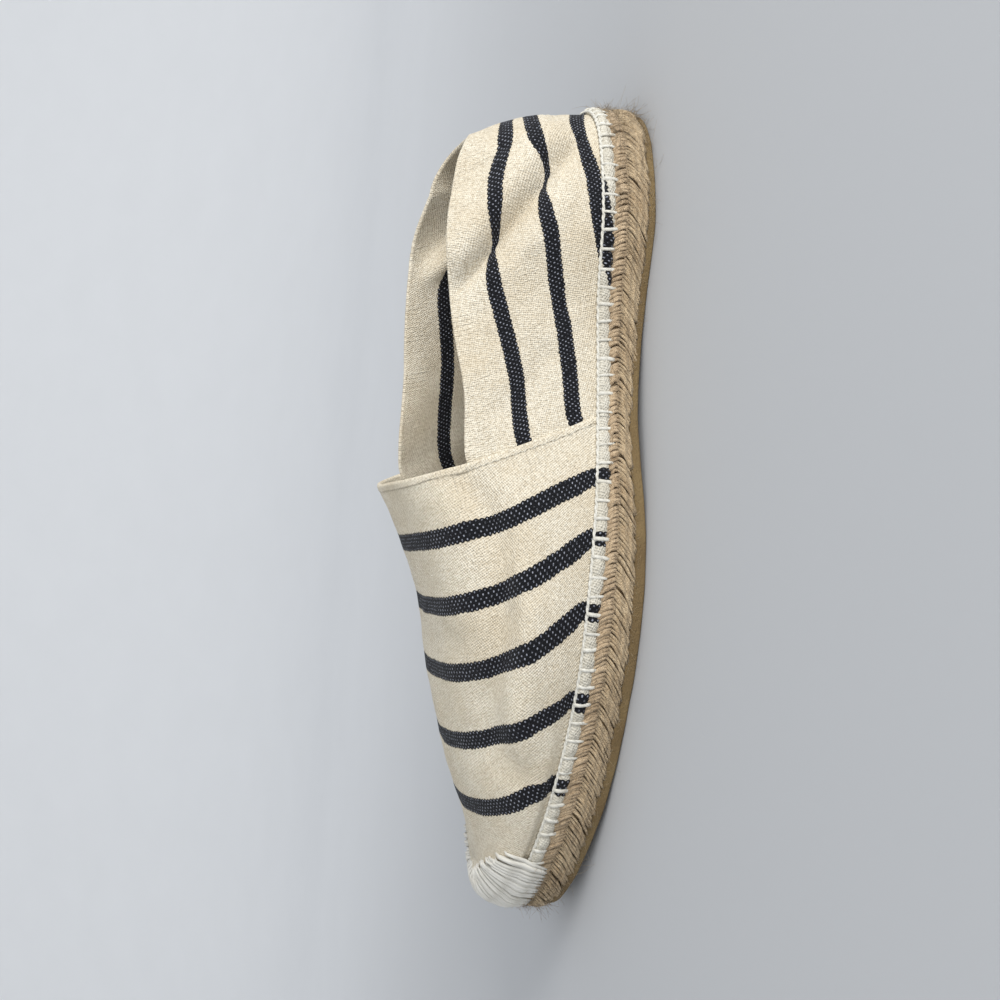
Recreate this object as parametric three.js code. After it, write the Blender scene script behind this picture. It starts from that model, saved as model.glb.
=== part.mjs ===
// A striped canvas espadrille for the right foot, standing empty on its sole.
// Millimetres, +Z up, toe towards -Y, heel towards +Y, the inner flank towards +X, the wearer's left.

import * as THREE from "three";

// Sizes of the sole, seen from above
const soleLength = 254;
const ballWidth = 89;
const waistWidth = 64;
const heelWidth = 63;
const toeSwing = 1.5; // how far the toe tip turns towards the inner flank

// Sizes of the sole, seen from the side
const toeSpring = 6;
const archRise = 1.6;
const outsoleAtBall = 3.8;
const outsoleAtHeel = 2.8;
const outsoleLip = 0.6; // rubber standing out past the jute
const outsoleRound = 1.3; // rounding of the rubber's lower edge
const hemHeight = 17; // top of the hem above the floor, at ball and heel
const toeHemRise = 5.7; // how much higher the hem is at the toe tip
const waistHemDip = 2.6; // how much lower it is at the waist
const insoleThickness = 2.4;

// Sizes of the braid round the jute
const strandCount = 96;
const strandRelief = 0.7;

// Sizes of the upper
const toeBoxHeight = 31.5;
const instepHeight = 71; // ridge of the vamp at the mouth
const leanAtMouth = 7; // how far the slack vamp leans towards the outer flank
const quarterHeight = 64; // collar of the outer quarter at its highest
const heelHeight = 53; // collar at the back of the heel
const mouthFromToe = 133; // mouth edge on the ridge
const heelLean = 12; // collar at the heel, forward of the hem
const quarterSwell = 2.2; // outward swell of the quarter between hem and collar
const canvasWall = 1.4;
const seamStep = 0.9; // vamp standing proud of the quarter at the side seam
const hemBand = 3.6; // folded strip below the hem cord
const hemInset = 1.3; // foot of the canvas wall, inside the sole's outline
const cordRadius = 0.8;

// Sizes of the stitching over the toe
const toeStitchReach = 31; // along the hem, each way from the toe tip
const toeStitchThickness = 1.3;
const toeThreadCount = 20;
const toeThreadRelief = 0.4;

// Clearances
const gap = 0.3;
const insoleClearance = 0.8; // insole's edge to the canvas
const facetAllowance = 0.2; // chords of a coarse ring cut inside its curve

// Half breadths round the outline. turn: degrees from the toe tip round to the heel.
// left and right: shares of the named width, before the sine of the turn shortens them.
const outlineRows = [
  { turn: 0, width: ballWidth, left: 0.585, right: 0.585 },
  { turn: 30, width: ballWidth, left: 0.52, right: 0.55 },
  { turn: 45, width: ballWidth, left: 0.532, right: 0.525 },
  { turn: 60, width: ballWidth, left: 0.549, right: 0.505 },
  { turn: 70, width: ballWidth, left: 0.566, right: 0.483 },
  { turn: 80, width: ballWidth, left: 0.556, right: 0.458 },
  { turn: 90, width: ballWidth, left: 0.51, right: 0.438 },
  { turn: 105, width: waistWidth, left: 0.555, right: 0.59 },
  { turn: 120, width: waistWidth, left: 0.525, right: 0.605 },
  { turn: 135, width: heelWidth, left: 0.695, right: 0.706 },
  { turn: 150, width: heelWidth, left: 0.765, right: 0.79 },
  { turn: 165, width: heelWidth, left: 0.865, right: 0.91 },
  { turn: 180, width: heelWidth, left: 0.97, right: 0.97 },
];

// Ridge of the vamp. hem: place of a rib's foot as a share of the sole's length from the toe.
// top: where that rib meets the ridge, as a share of mouthFromToe. rise: share of the way from
// toeBoxHeight to instepHeight. lean: share of leanAtMouth. square: how square the rib is, 2 for an ellipse.
const ridgeRows = [
  { hem: 0.0, top: 0.094, rise: -0.02, lean: 0.0, square: 2.5 },
  { hem: 0.06, top: 0.115, rise: -0.01, lean: 0.0, square: 2.4 },
  { hem: 0.14, top: 0.178, rise: 0.04, lean: 0.05, square: 2.2 },
  { hem: 0.26, top: 0.345, rise: 0.27, lean: 0.15, square: 2.2 },
  { hem: 0.37, top: 0.533, rise: 0.45, lean: 0.3, square: 2.35 },
  { hem: 0.475, top: 0.721, rise: 0.585, lean: 0.5, square: 2.6 },
  { hem: 0.555, top: 0.88, rise: 0.81, lean: 0.75, square: 2.9 },
  { hem: 0.628, top: 1.0, rise: 1.0, lean: 1.0, square: 3.2 },
  { hem: 0.75, top: 1.2, rise: 1.1, lean: 1.2, square: 3.2 },
  { hem: 1.0, top: 1.6, rise: 1.1, lean: 1.2, square: 3.2 },
];

// Collar line. at: share of the flank's arc from the toe tip round to the heel.
// left and right: sideways place of each flank's collar as a share of heelWidth.
// fore: share of the sole's length from the toe. low and high: height of the left and
// of the right collar as a share of quarterHeight.
const collarRows = [
  { at: 0.6, left: 0.47, right: 0.5, fore: 0.56, low: 0.7, high: 0.89 },
  { at: 0.7, left: 0.4, right: 0.49, fore: 0.64, low: 0.83, high: 0.95 },
  { at: 0.78, left: 0.33, right: 0.46, fore: 0.72, low: 0.905, high: 0.985 },
  { at: 0.86, left: 0.27, right: 0.4, fore: 0.81, low: 0.94, high: 0.99 },
  { at: 0.93, left: 0.18, right: 0.28, fore: 0.885, low: 0.915, high: 0.94 },
];
const mouthArc = 0.6; // share of the flank's arc where the mouth edge meets the hem
const junctionSpread = 0.14; // share of the arc over which the quarter leaves the vamp's form
const seamLapSpread = 0.16; // share of the arc over which the vamp rises to its lapped edge
const junctionLeft = 0.35; // share of the mouth rib below the place where the left collar starts
const junctionRight = 0.53;

// Places along the shoe, as shares of the sole's length from the toe
const swingEnd = 0.6; // behind it the sole's middle line is straight
const ballPadStart = 0.27; // the sole lies on the floor from here
const ballPadEnd = 0.44; // to here
const heelPadStart = 0.78; // and from here to the heel
const toeHemEnd = 0.3; // the hem climbs from here to the toe
const waistHemStart = 0.38; // the hem dips from here
const waistHemEnd = 0.9; // to here

const halfLength = soleLength / 2;

function mix(a, b, share) {
  return a + (b - a) * share;
}

function clamp(value, low, high) {
  return Math.min(Math.max(value, low), high);
}

function smoothstep(low, high, value) {
  const share = clamp((value - low) / (high - low), 0, 1);
  return share * share * (3 - 2 * share);
}

// A smooth curve through one column of a table, by cubic pieces.
function column(rows, key, name, at) {
  const last = rows.length - 1;
  let i = 0;
  while (i < last - 1 && at > rows[i + 1][key]) i += 1;
  const slope = (j) => {
    const low = rows[Math.max(j - 1, 0)];
    const high = rows[Math.min(j + 1, last)];
    return (high[name] - low[name]) / (high[key] - low[key]);
  };
  const step = rows[i + 1][key] - rows[i][key];
  const s = clamp((at - rows[i][key]) / step, 0, 1);
  const bend = s * s * (3 - 2 * s);
  return (
    mix(rows[i][name], rows[i + 1][name], bend) +
    step * (slope(i) * s * (1 - s) * (1 - s) - slope(i + 1) * s * s * (1 - s))
  );
}

// Outline of the sole

const breadthRows = outlineRows.map((row) => ({
  turn: (row.turn * Math.PI) / 180,
  left: row.left * row.width,
  right: row.right * row.width,
}));

function fromToe(y) {
  return clamp((y + halfLength) / soleLength, 0, 1);
}

function middleLine(y) {
  return toeSwing * clamp(1 - fromToe(y) / swingEnd, 0, 1) ** 2;
}

function outlineAtTurn(side, turn) {
  const reach = column(breadthRows, "turn", side > 0 ? "left" : "right", turn);
  const y = -halfLength * Math.cos(turn);
  return new THREE.Vector2(side * Math.sin(turn) * reach + middleLine(y), y);
}

// Length of the mean flank up to each turn, so that places can be given by arc.
const arcSteps = 720;
const arcAtTurn = [0];
for (let i = 1; i <= arcSteps; i += 1) {
  const before = (Math.PI * (i - 1)) / arcSteps;
  const here = (Math.PI * i) / arcSteps;
  const left = outlineAtTurn(1, here).distanceTo(outlineAtTurn(1, before));
  const right = outlineAtTurn(-1, here).distanceTo(outlineAtTurn(-1, before));
  arcAtTurn.push(arcAtTurn[i - 1] + (left + right) / 2);
}
const flankArc = arcAtTurn[arcSteps];

function turnAtArc(share) {
  const target = clamp(share, 0, 1) * flankArc;
  let i = 1;
  while (i < arcSteps && arcAtTurn[i] < target) i += 1;
  const part = (target - arcAtTurn[i - 1]) / (arcAtTurn[i] - arcAtTurn[i - 1]);
  return (Math.PI * (i - 1 + part)) / arcSteps;
}

function junction(side) {
  return side > 0 ? junctionLeft : junctionRight;
}

// A place round the sole. round: 0 at the toe tip, up the left flank to 1 at the heel, and back to 2.
function placeRound(round) {
  const whole = ((round % 2) + 2) % 2;
  return whole <= 1 ? { side: 1, arc: whole } : { side: -1, arc: 2 - whole };
}

function outline(round, outset) {
  const spread = 0.004;
  const point = (r) => {
    const { side, arc } = placeRound(r);
    return outlineAtTurn(side, turnAtArc(arc));
  };
  const here = point(round);
  const along = point(round + spread).sub(point(round - spread)).normalize();
  return { x: here.x + along.y * outset, y: here.y - along.x * outset, facing: along.y };
}

// Heights above the floor

function soleUnderside(y) {
  const s = fromToe(y);
  const toe = clamp(1 - s / ballPadStart, 0, 1);
  const arch = clamp((s - ballPadEnd) / (heelPadStart - ballPadEnd), 0, 1);
  return toeSpring * toe * toe + archRise * Math.sin(Math.PI * arch) ** 2;
}

function outsoleTop(y) {
  return soleUnderside(y) + mix(outsoleAtBall, outsoleAtHeel, smoothstep(ballPadEnd, heelPadStart, fromToe(y)));
}

function hemTop(y) {
  const s = fromToe(y);
  const toe = clamp(1 - s / toeHemEnd, 0, 1);
  const waist = clamp((s - waistHemStart) / (waistHemEnd - waistHemStart), 0, 1);
  return hemHeight + toeHemRise * toe ** 1.7 - waistHemDip * Math.sin(Math.PI * waist) ** 2;
}

// Closed bodies

function meshOf(name, points, faces, look) {
  const geometry = new THREE.BufferGeometry();
  geometry.setAttribute("position", new THREE.Float32BufferAttribute(points.flat(), 3));
  geometry.setIndex(faces.flat());
  geometry.computeVertexNormals();
  const mesh = new THREE.Mesh(geometry, new THREE.MeshStandardMaterial(look));
  mesh.name = name;
  return mesh;
}

// A slab with a closed outline: rings of points from its underside to its top, each counted
// anticlockwise from the toe tip, closed below and above by strips that run straight across.
function slab(rings) {
  const count = rings[0].length;
  const points = rings.flat();
  const faces = [];
  for (let level = 0; level < rings.length - 1; level += 1) {
    for (let k = 0; k < count; k += 1) {
      const a = level * count + k;
      const b = level * count + ((k + 1) % count);
      faces.push([a, b, b + count], [a, b + count, a + count]);
    }
  }
  const top = (rings.length - 1) * count;
  for (let here = 0; here < count / 2; here += 1) {
    const next = here + 1;
    const hereAcross = (count - here) % count;
    const nextAcross = count - next;
    if (here !== hereAcross) {
      faces.push([hereAcross, nextAcross, here]);
      faces.push([top + here, top + nextAcross, top + hereAcross]);
    }
    if (next !== nextAcross) {
      faces.push([here, nextAcross, next]);
      faces.push([top + here, top + next, top + nextAcross]);
    }
  }
  return { points, faces };
}

// A shell between an outer and an inner sheet with the same faces, closed along every free edge.
function shell(outer, inner, sheetFaces) {
  const count = outer.length;
  const faces = [];
  const edges = new Map();
  for (const [a, b, c] of sheetFaces) {
    faces.push([a, b, c], [a + count, c + count, b + count]);
    for (const [from, to] of [[a, b], [b, c], [c, a]]) {
      edges.set(`${from},${to}`, [from, to]);
    }
  }
  for (const [from, to] of edges.values()) {
    if (!edges.has(`${to},${from}`)) {
      faces.push([from, from + count, to + count], [from, to + count, to]);
    }
  }
  return { points: [...outer, ...inner], faces };
}

function sheetNormals(points, faces) {
  const normals = points.map(() => new THREE.Vector3());
  for (const face of faces) {
    const [a, b, c] = face.map((i) => new THREE.Vector3(...points[i]));
    const area = b.sub(a).cross(c.sub(a));
    for (const i of face) normals[i].add(area);
  }
  return normals.map((normal) => normal.normalize());
}

function moved(point, normal, distance) {
  return [
    point[0] + normal.x * distance,
    point[1] + normal.y * distance,
    point[2] + normal.z * distance,
  ];
}

// Places round the sole that the upper, cord, insole and rubber share

const vampSteps = 28;
const quarterSteps = 18;
const seamLap = 0.8 / flankArc;
const flankArcs = [];
for (let i = 0; i <= vampSteps; i += 1) {
  flankArcs.push((mouthArc * i) / vampSteps);
}
for (let i = 0; i <= quarterSteps; i += 1) {
  flankArcs.push(mix(mouthArc + seamLap, 1, i / quarterSteps));
}
const flankLast = flankArcs.length - 1;
const rounds = [...flankArcs, ...flankArcs.slice(1, flankLast).reverse().map((arc) => 2 - arc)];

function ring(places, outset, height) {
  return places.map((round) => {
    const { x, y } = outline(round, outset);
    return [x, y, height(y)];
  });
}

// The rubber outsole

function makeOutsole() {
  const { points, faces } = slab([
    ring(rounds, outsoleLip - outsoleRound, soleUnderside),
    ring(rounds, outsoleLip, (y) => soleUnderside(y) + outsoleRound),
    ring(rounds, outsoleLip, (y) => outsoleTop(y) - outsoleRound / 2),
    ring(rounds, 0, outsoleTop),
  ]);
  return meshOf("outsole", points, faces, { color: 0xc7b283, roughness: 0.7, metalness: 0 });
}

// The braided jute sole. Its side has two rows of strands that lean opposite ways, each strand a
// crest between two valleys, and its top edge steps in to take the canvas hem.

const juteRimInset = hemInset + canvasWall + gap + facetAllowance;

function juteRing(share, shear, relief) {
  const columns = strandCount * 2;
  const points = [];
  for (let k = 0; k < columns; k += 1) {
    const swell = k % 2 === 0 ? relief : -relief;
    const { x, y } = outline((2 * (k + shear)) / columns, swell - strandRelief);
    const low = outsoleTop(y) + gap;
    const high = hemTop(y) - hemBand;
    points.push([x, y, mix(low, high, share)]);
  }
  return points;
}

function makeJuteSole() {
  const columns = Array.from({ length: strandCount * 2 }, (unused, k) => k / strandCount);
  const rimTop = (y) => hemTop(y) - cordRadius;
  const { points, faces } = slab([
    juteRing(0, 0, 0.2 * strandRelief),
    juteRing(0.14, 0.4, strandRelief),
    juteRing(0.36, 1.2, strandRelief),
    juteRing(0.5, 1.6, -0.2 * strandRelief),
    juteRing(0.64, 1.2, strandRelief),
    juteRing(0.88, 0.4, strandRelief),
    juteRing(1, 0, 0),
    ring(columns, -juteRimInset, (y) => hemTop(y) - hemBand),
    ring(columns, -juteRimInset, rimTop),
  ]);
  return meshOf("jute_sole", points, faces, { color: 0xbf9f74, roughness: 0.95, metalness: 0 });
}

// The insole, on the jute and inside the upper

function makeInsole() {
  const outset = -juteRimInset - insoleClearance;
  const low = (y) => hemTop(y) - cordRadius + gap;
  const { points, faces } = slab([
    ring(rounds, outset, low),
    ring(rounds, outset, (y) => low(y) + insoleThickness * 0.75),
    ring(rounds, outset - 1, (y) => low(y) + insoleThickness),
  ]);
  return meshOf("insole", points, faces, { color: 0xd8c7a4, roughness: 0.95, metalness: 0 });
}

// The canvas upper: ribs that rise from the hem, each at one place round the sole.
// height: 0 at the hem, 1 on the ridge of the vamp or at the collar.

function vampPoint(round, height) {
  const foot = outline(round, -hemInset);
  const along = fromToe(foot.y);
  const square = column(ridgeRows, "hem", "square", along);
  const angle = (clamp(height, 0, 1) * Math.PI) / 2;
  const across = 1 - Math.max(Math.cos(angle), 0) ** (2 / square);
  const up = Math.sin(angle) ** (2 / square);
  const topY = column(ridgeRows, "hem", "top", along) * mouthFromToe - halfLength;
  const topZ = mix(toeBoxHeight, instepHeight, column(ridgeRows, "hem", "rise", along));
  const topX = middleLine(topY) - leanAtMouth * column(ridgeRows, "hem", "lean", along);
  const back = mix(across, up * (1.25 - 0.25 * up), foot.facing * foot.facing);
  const footZ = hemTop(foot.y) + cordRadius;
  return [
    mix(foot.x, topX, across),
    mix(foot.y, topY, back),
    mix(footZ, topZ, up),
  ];
}

function collarPoint(round) {
  const { side, arc } = placeRound(round);
  const last = collarRows[collarRows.length - 1];
  const reached = Math.min(arc, last.at);
  const x = column(collarRows, "at", side > 0 ? "left" : "right", reached) * heelWidth;
  const y = column(collarRows, "at", "fore", reached) * soleLength - halfLength;
  const z = column(collarRows, "at", side > 0 ? "low" : "high", reached) * quarterHeight;
  const heelY = outline(1, -hemInset).y - heelLean;
  const turn = (clamp((arc - last.at) / (1 - last.at), 0, 1) * Math.PI) / 2;
  return [side * x * Math.cos(turn), mix(y, heelY, Math.sin(turn)), mix(z, heelHeight, Math.sin(turn) ** 2)];
}

function quarterPoint(round, height) {
  const { side, arc } = placeRound(round);
  const foot = outline(round, -hemInset);
  const top = collarPoint(round);
  const swell = quarterSwell * Math.sin(Math.PI * height);
  const { x, y } = outline(round, swell - hemInset);
  const straight = [
    mix(x, top[0], height),
    mix(y, top[1], height),
    mix(hemTop(foot.y) + cordRadius, top[2], height),
  ];
  const lapped = vampPoint(round, height * junction(side));
  const share = smoothstep(mouthArc, mouthArc + junctionSpread, arc);
  return straight.map((value, i) => mix(lapped[i], value, share));
}

// Rows of the canvas wall from the hem to the junction of vamp and collar, and on to the ridge
const wallRows = [0, 0.16, 0.34, 0.52, 0.7, 0.86, 1];
const crownRows = [0.25, 0.5, 0.75];

// Outset and height of each row of the folded hem strip, from its lower edge to the cord's seat
const hemRows = [
  { outset: 0.2, drop: hemBand - gap },
  { outset: 0.6, drop: hemBand * 0.65 },
  { outset: 0.4, drop: cordRadius + gap },
  { outset: -hemInset, drop: cordRadius + gap },
];

function makeUpper() {
  const base = [];
  const outer = [];
  const inner = [];
  const faces = [];
  const stems = [];
  const ridge = new Map();
  const isVamp = (arc) => arc < mouthArc + seamLap / 2;
  for (const round of rounds) {
    const { side, arc } = placeRound(round);
    const stem = [];
    for (const row of hemRows) {
      const wall = outline(round, -hemInset);
      const face = outline(round, row.outset);
      const seat = outline(round, -hemInset - canvasWall);
      const z = hemTop(wall.y) - row.drop;
      const i = base.length;
      stem.push(i);
      base.push([wall.x, wall.y, z]);
      outer[i] = [face.x, face.y, z];
      inner[i] = [seat.x, seat.y, z];
    }
    for (const row of wallRows) {
      stem.push(base.length);
      base.push(isVamp(arc) ? vampPoint(round, row * junction(side)) : quarterPoint(round, row));
    }
    if (isVamp(arc)) {
      for (const row of crownRows) {
        stem.push(base.length);
        base.push(vampPoint(round, mix(junction(side), 1, row)));
      }
      const key = arc.toFixed(6);
      if (!ridge.has(key)) {
        ridge.set(key, base.length);
        base.push(vampPoint(round, 1));
      }
      stem.push(ridge.get(key));
    }
    stems.push(stem);
  }
  for (let k = 0; k < stems.length; k += 1) {
    const here = stems[k];
    const next = stems[(k + 1) % stems.length];
    const rows = Math.min(here.length, next.length);
    for (let row = 0; row < rows - 1; row += 1) {
      const [a, b, c, d] = [here[row], next[row], next[row + 1], here[row + 1]];
      faces.push([a, b, c]);
      if (c !== d) faces.push([a, c, d]);
    }
  }
  const normals = sheetNormals(base, faces);
  stems.forEach((stem, k) => {
    const { arc } = placeRound(rounds[k]);
    const step = isVamp(arc) ? seamStep * smoothstep(mouthArc - seamLapSpread, mouthArc, arc) : 0;
    stem.slice(hemRows.length).forEach((i, row) => {
      outer[i] = moved(base[i], normals[i], row === 0 ? 0 : step);
      inner[i] = moved(base[i], normals[i], -canvasWall);
    });
  });
  const body = shell(outer, inner, faces);
  return meshOf("upper", body.points, body.faces, { color: 0xe1d4b9, roughness: 0.95, metalness: 0 });
}

// The thread ridge along the hem, in the notch between the folded strip and the wall

function makeHemCord() {
  const sides = 6;
  const centreInset = hemInset - gap - cordRadius;
  const points = [];
  const faces = [];
  rounds.forEach((round, k) => {
    const next = (k + 1) % rounds.length;
    const seatY = outline(round, -hemInset).y;
    for (let side = 0; side < sides; side += 1) {
      const angle = (2 * Math.PI * side) / sides;
      const { x, y } = outline(round, cordRadius * Math.cos(angle) - centreInset);
      points.push([x, y, hemTop(seatY) + cordRadius * Math.sin(angle)]);
      const after = (side + 1) % sides;
      const [a, b] = [k * sides + side, next * sides + side];
      const [c, d] = [next * sides + after, k * sides + after];
      faces.push([a, b, c], [a, c, d]);
    }
  });
  return meshOf("hem_cord", points, faces, { color: 0xe6e3dc, roughness: 0.9, metalness: 0 });
}

// The thread wrap over the toe: from the jute, over the hem strip and cord, on to the vamp

const toeRows = [
  { drop: 6.5, outset: 1.3 },
  { drop: 3.5, outset: 1.5 },
  { drop: 0, outset: 1.5 },
  { height: 0.26 },
  { height: 0.5 },
  { height: 0.73 },
  { height: 0.93 },
];

function makeToeStitching() {
  const reach = toeStitchReach / flankArc;
  const columns = toeThreadCount * 2;
  const base = [];
  const faces = [];
  for (let k = 0; k <= columns; k += 1) {
    const round = mix(-reach, reach, k / columns);
    const short = Math.sqrt(Math.max(1 - (round / reach) ** 2, 0));
    toeRows.forEach((row, level) => {
      if (row.height === undefined) {
        const { x, y } = outline(round, row.outset);
        base.push([x, y, hemTop(outline(round, 0).y) - row.drop]);
      } else {
        base.push(vampPoint(round, row.height * mix(0.45, 1, short)));
      }
      if (k > 0 && level > 0) {
        const d = base.length - 1;
        const c = d - toeRows.length;
        faces.push([c - 1, d - 1, d], [c - 1, d, c]);
      }
    });
  }
  const normals = sheetNormals(base, faces);
  const outer = [];
  const inner = [];
  base.forEach((point, i) => {
    const row = toeRows[i % toeRows.length];
    const k = Math.floor(i / toeRows.length);
    const swell = k % 2 === 0 ? -toeThreadRelief : toeThreadRelief;
    const seat = row.height === undefined ? 0 : gap + facetAllowance;
    outer.push(moved(point, normals[i], seat + toeStitchThickness + swell));
    inner.push(moved(point, normals[i], seat));
  });
  const body = shell(outer, inner, faces);
  return meshOf("toe_stitching", body.points, body.faces, { color: 0xf0eee8, roughness: 0.9, metalness: 0 });
}

// The whole shoe, with its origin on the floor under the middle of its box

const espadrille = new THREE.Group();
espadrille.add(
  makeOutsole(),
  makeJuteSole(),
  makeInsole(),
  makeUpper(),
  makeHemCord(),
  makeToeStitching(),
);
const box = new THREE.Box3().setFromObject(espadrille);
const middle = box.getCenter(new THREE.Vector3());
espadrille.position.set(-middle.x, -middle.y, -box.min.z);

export default espadrille;
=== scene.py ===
"""A striped canvas espadrille for the right foot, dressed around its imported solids.

Shape functions work in millimetres, with the toe towards -Y and the inner flank towards +X.
A place round the shoe is a "turn" from 0 at the toe tip, up the inner flank to 1 at the heel,
and back to 2. Every mesh is moved into the frame and into metres by make_piece.
"""

import math

import bpy
import numpy as np
from mathutils import Matrix, Vector

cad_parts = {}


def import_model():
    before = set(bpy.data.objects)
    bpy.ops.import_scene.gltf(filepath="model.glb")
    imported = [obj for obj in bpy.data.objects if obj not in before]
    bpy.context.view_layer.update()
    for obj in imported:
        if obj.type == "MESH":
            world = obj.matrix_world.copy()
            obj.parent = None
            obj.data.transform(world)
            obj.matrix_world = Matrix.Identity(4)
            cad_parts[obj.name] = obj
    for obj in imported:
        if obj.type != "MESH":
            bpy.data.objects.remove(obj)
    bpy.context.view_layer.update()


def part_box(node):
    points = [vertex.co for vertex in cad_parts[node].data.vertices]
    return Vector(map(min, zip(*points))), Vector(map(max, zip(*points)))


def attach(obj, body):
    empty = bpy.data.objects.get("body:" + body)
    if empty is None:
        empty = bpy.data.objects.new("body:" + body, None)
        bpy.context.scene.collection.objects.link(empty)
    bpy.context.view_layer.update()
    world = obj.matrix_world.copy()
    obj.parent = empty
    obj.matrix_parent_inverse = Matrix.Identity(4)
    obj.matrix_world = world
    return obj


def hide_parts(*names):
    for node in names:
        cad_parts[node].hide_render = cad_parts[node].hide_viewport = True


MM = 0.001

# Sizes of the shoe, as the solids have them
SOLE_LENGTH = 254.0
BALL_WIDTH = 89.0
WAIST_WIDTH = 64.0
HEEL_WIDTH = 63.0
TOE_SWING = 1.5
TOE_SPRING = 6.0
ARCH_RISE = 1.6
OUTSOLE_AT_BALL = 3.8
OUTSOLE_AT_HEEL = 2.8
OUTSOLE_LIP = 0.6
HEM_HEIGHT = 17.0
TOE_HEM_RISE = 5.7
WAIST_HEM_DIP = 2.6
INSOLE_THICKNESS = 2.4
TOE_BOX_HEIGHT = 31.5
INSTEP_HEIGHT = 71.0
LEAN_AT_MOUTH = 7.0
QUARTER_HEIGHT = 64.0
HEEL_HEIGHT = 53.0
MOUTH_FROM_TOE = 133.0
HEEL_LEAN = 12.0
QUARTER_SWELL = 2.2
CANVAS = 1.2
SEAM_STEP = 0.9
HEM_BAND = 3.6
HEM_INSET = 1.3
CORD_RADIUS = 0.8
STRANDS = 96
GAP = 0.3

# Places along the shoe, as shares of the sole's length from the toe
SWING_END = 0.6
BALL_PAD_START = 0.27
BALL_PAD_END = 0.44
HEEL_PAD_START = 0.78
TOE_HEM_END = 0.3
WAIST_HEM_START = 0.38
WAIST_HEM_END = 0.9

# Places round the flank, as shares of its arc from the toe tip to the heel
MOUTH_ARC = 0.6
JUNCTION_SPREAD = 0.14
JUNCTION_LEFT = 0.35
JUNCTION_RIGHT = 0.53

OUTLINE = {
    "turn": [0, 30, 45, 60, 70, 80, 90, 105, 120, 135, 150, 165, 180],
    "width": [BALL_WIDTH] * 7 + [WAIST_WIDTH] * 2 + [HEEL_WIDTH] * 4,
    "left": [0.585, 0.52, 0.532, 0.549, 0.566, 0.556, 0.51, 0.555, 0.525, 0.695, 0.765, 0.865, 0.97],
    "right": [0.585, 0.55, 0.525, 0.505, 0.483, 0.458, 0.438, 0.59, 0.605, 0.706, 0.79, 0.91, 0.97],
}
RIDGE = {
    "hem": [0.0, 0.06, 0.14, 0.26, 0.37, 0.475, 0.555, 0.628, 0.75, 1.0],
    "top": [0.094, 0.115, 0.178, 0.345, 0.533, 0.721, 0.88, 1.0, 1.2, 1.6],
    "rise": [-0.02, -0.01, 0.04, 0.27, 0.45, 0.585, 0.81, 1.0, 1.1, 1.1],
    "lean": [0.0, 0.0, 0.05, 0.15, 0.3, 0.5, 0.75, 1.0, 1.2, 1.2],
    "square": [2.5, 2.4, 2.2, 2.2, 2.35, 2.6, 2.9, 3.2, 3.2, 3.2],
}
COLLAR = {
    "at": [0.6, 0.7, 0.78, 0.86, 0.93],
    "left": [0.47, 0.4, 0.33, 0.27, 0.18],
    "right": [0.5, 0.49, 0.46, 0.4, 0.28],
    "fore": [0.56, 0.64, 0.72, 0.81, 0.885],
    "low": [0.7, 0.83, 0.905, 0.94, 0.915],
    "high": [0.89, 0.95, 0.985, 0.99, 0.94],
}


def mix(a, b, share):
    return a + (b - a) * share


def smoothstep(low, high, value):
    share = np.clip((value - low) / (high - low), 0, 1)
    return share * share * (3 - 2 * share)


def unit(vectors):
    return vectors / np.maximum(np.linalg.norm(vectors, axis=-1, keepdims=True), 1e-9)


def column(table, key, name, at):
    """A smooth curve through one column of a table, by cubic pieces."""
    keys = np.asarray(table[key], float)
    values = np.asarray(table[name], float)
    last = len(keys) - 1
    low = np.maximum(np.arange(last + 1) - 1, 0)
    high = np.minimum(np.arange(last + 1) + 1, last)
    slope = (values[high] - values[low]) / (keys[high] - keys[low])
    at = np.asarray(at, float)
    i = np.clip(np.searchsorted(keys, at, side="left") - 1, 0, last - 1)
    step = keys[i + 1] - keys[i]
    s = np.clip((at - keys[i]) / step, 0, 1)
    bend = s * s * (3 - 2 * s)
    swing = slope[i] * s * (1 - s) ** 2 - slope[i + 1] * s * s * (1 - s)
    return mix(values[i], values[i + 1], bend) + step * swing


# Outline of the sole

BREADTH = {
    "turn": np.radians(OUTLINE["turn"]),
    "left": np.array(OUTLINE["left"]) * OUTLINE["width"],
    "right": np.array(OUTLINE["right"]) * OUTLINE["width"],
}


def from_toe(y):
    return np.clip((y + SOLE_LENGTH / 2) / SOLE_LENGTH, 0, 1)


def middle_line(y):
    return TOE_SWING * np.clip(1 - from_toe(y) / SWING_END, 0, 1) ** 2


def outline_at_angle(side, angle):
    left = column(BREADTH, "turn", "left", angle)
    right = column(BREADTH, "turn", "right", angle)
    reach = np.where(side > 0, left, right)
    y = -SOLE_LENGTH / 2 * np.cos(angle)
    return np.stack([side * np.sin(angle) * reach + middle_line(y), y], -1)


OUTLINE_STEPS = 1441
ANGLES = np.linspace(0, math.pi, OUTLINE_STEPS)
FLANKS = [outline_at_angle(np.full_like(ANGLES, side), ANGLES) for side in (1.0, -1.0)]
STEPS = sum(np.linalg.norm(np.diff(flank, axis=0), axis=1) for flank in FLANKS) / 2
ARCS = np.concatenate([[0], np.cumsum(STEPS)])
FLANK_ARC = ARCS[-1]


def side_and_arc(turn):
    whole = np.mod(turn, 2)
    side = np.where(whole <= 1, 1.0, -1.0)
    return side, np.where(whole <= 1, whole, 2 - whole)


def outline_point(turn):
    side, arc = side_and_arc(turn)
    return outline_at_angle(side, np.interp(arc * FLANK_ARC, ARCS, ANGLES))


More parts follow.
